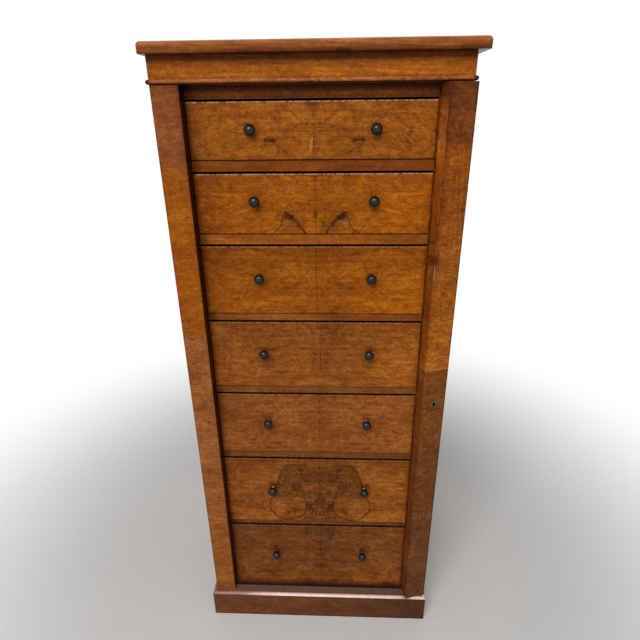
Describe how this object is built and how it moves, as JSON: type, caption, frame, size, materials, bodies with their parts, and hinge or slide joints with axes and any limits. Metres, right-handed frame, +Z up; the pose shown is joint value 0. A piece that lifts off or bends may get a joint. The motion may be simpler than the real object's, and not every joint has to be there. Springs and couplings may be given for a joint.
{
  "type": "wellington chest",
  "caption": "Tall narrow chest of graduated drawers between a fixed pilaster and a hinged locking stile, in figured walnut with dark turned knobs, on a plinth.",
  "frame": {"origin": "on the floor, at the centre of the plinth's footprint", "axes": "+Z up, +X to the right across the front, +Y from the front to the back"},
  "size_m": [0.5157, 0.399, 1.23],
  "materials": {
    "walnut_veneer": "French-polished figured walnut veneer, satin",
    "walnut": "polished solid walnut, satin",
    "drawer_lining": "bare oak, planed",
    "carcase_pine": "bare aged pine",
    "ebonised_knobs": "ebonised and polished, glossy",
    "brass": "aged brass",
    "steel": "dull steel"
  },
  "bodies": {
    "case": {"left_case_side": "walnut_veneer", "right_case_side": "walnut_veneer", "back_boards": "carcase_pine", "front_stiles": "walnut", "left_pilaster": "walnut_veneer", "top_slab": "walnut", "frieze_rail": "walnut_veneer", "astragal_moulding": "walnut", "plinth_boards": "walnut", "base_board": "walnut", "glue_blocks": "carcase_pine", "top_rail": "walnut", "drawer_rails": "walnut", "drawer_runners": "carcase_pine", "dust_boards": "carcase_pine", "drawer_stops": "carcase_pine", "hinge_case_leaves": "brass", "case_screws": "steel", "lock_staple": "steel"},
    "locking_stile_group": {"locking_stile": "walnut_veneer", "hinge_stile_leaves": "brass", "stile_screws": "steel", "lock_case": "steel", "escutcheon": "brass"},
    "lock_bolt": {"lock_bolt": "steel"},
    "drawer_1": {"drawer_1_front": "walnut_veneer", "drawer_1_sides": "drawer_lining", "drawer_1_back": "drawer_lining", "drawer_1_bottom": "drawer_lining", "drawer_1_knobs": "ebonised_knobs"},
    "drawer_2": {"drawer_2_front": "walnut_veneer", "drawer_2_sides": "drawer_lining", "drawer_2_back": "drawer_lining", "drawer_2_bottom": "drawer_lining", "drawer_2_knobs": "ebonised_knobs"},
    "drawer_3": {"drawer_3_front": "walnut_veneer", "drawer_3_sides": "drawer_lining", "drawer_3_back": "drawer_lining", "drawer_3_bottom": "drawer_lining", "drawer_3_knobs": "ebonised_knobs"},
    "drawer_4": {"drawer_4_front": "walnut_veneer", "drawer_4_sides": "drawer_lining", "drawer_4_back": "drawer_lining", "drawer_4_bottom": "drawer_lining", "drawer_4_knobs": "ebonised_knobs"},
    "drawer_5": {"drawer_5_front": "walnut_veneer", "drawer_5_sides": "drawer_lining", "drawer_5_back": "drawer_lining", "drawer_5_bottom": "drawer_lining", "drawer_5_knobs": "ebonised_knobs"},
    "drawer_6": {"drawer_6_front": "walnut_veneer", "drawer_6_sides": "drawer_lining", "drawer_6_back": "drawer_lining", "drawer_6_bottom": "drawer_lining", "drawer_6_knobs": "ebonised_knobs"},
    "drawer_7": {"drawer_7_front": "walnut_veneer", "drawer_7_sides": "drawer_lining", "drawer_7_back": "drawer_lining", "drawer_7_bottom": "drawer_lining", "drawer_7_knobs": "ebonised_knobs"}
  },
  "joints": [
    {"name": "drawer_1_slide", "type": "slide", "parent": "case", "child": "drawer_1", "axis": [0, -1, 0], "range_m": [0, 0.28]},
    {"name": "drawer_2_slide", "type": "slide", "parent": "case", "child": "drawer_2", "axis": [0, -1, 0], "range_m": [0, 0.28]},
    {"name": "drawer_3_slide", "type": "slide", "parent": "case", "child": "drawer_3", "axis": [0, -1, 0], "range_m": [0, 0.28]},
    {"name": "drawer_4_slide", "type": "slide", "parent": "case", "child": "drawer_4", "axis": [0, -1, 0], "range_m": [0, 0.28]},
    {"name": "drawer_5_slide", "type": "slide", "parent": "case", "child": "drawer_5", "axis": [0, -1, 0], "range_m": [0, 0.28]},
    {"name": "drawer_6_slide", "type": "slide", "parent": "case", "child": "drawer_6", "axis": [0, -1, 0], "range_m": [0, 0.28]},
    {"name": "drawer_7_slide", "type": "slide", "parent": "case", "child": "drawer_7", "axis": [0, -1, 0], "range_m": [0, 0.28]},
    {"name": "locking_stile_hinge", "type": "hinge", "parent": "case", "child": "locking_stile_group", "pos_m": [0.2476, -0.1614, 0.6], "axis": [0, 0, 1], "range_deg": [-16.5, 150]},
    {"name": "lock_bolt_slide", "type": "slide", "parent": "locking_stile_group", "child": "lock_bolt", "axis": [0, 0, 1], "range_m": [0, 0.008]}
  ]
}
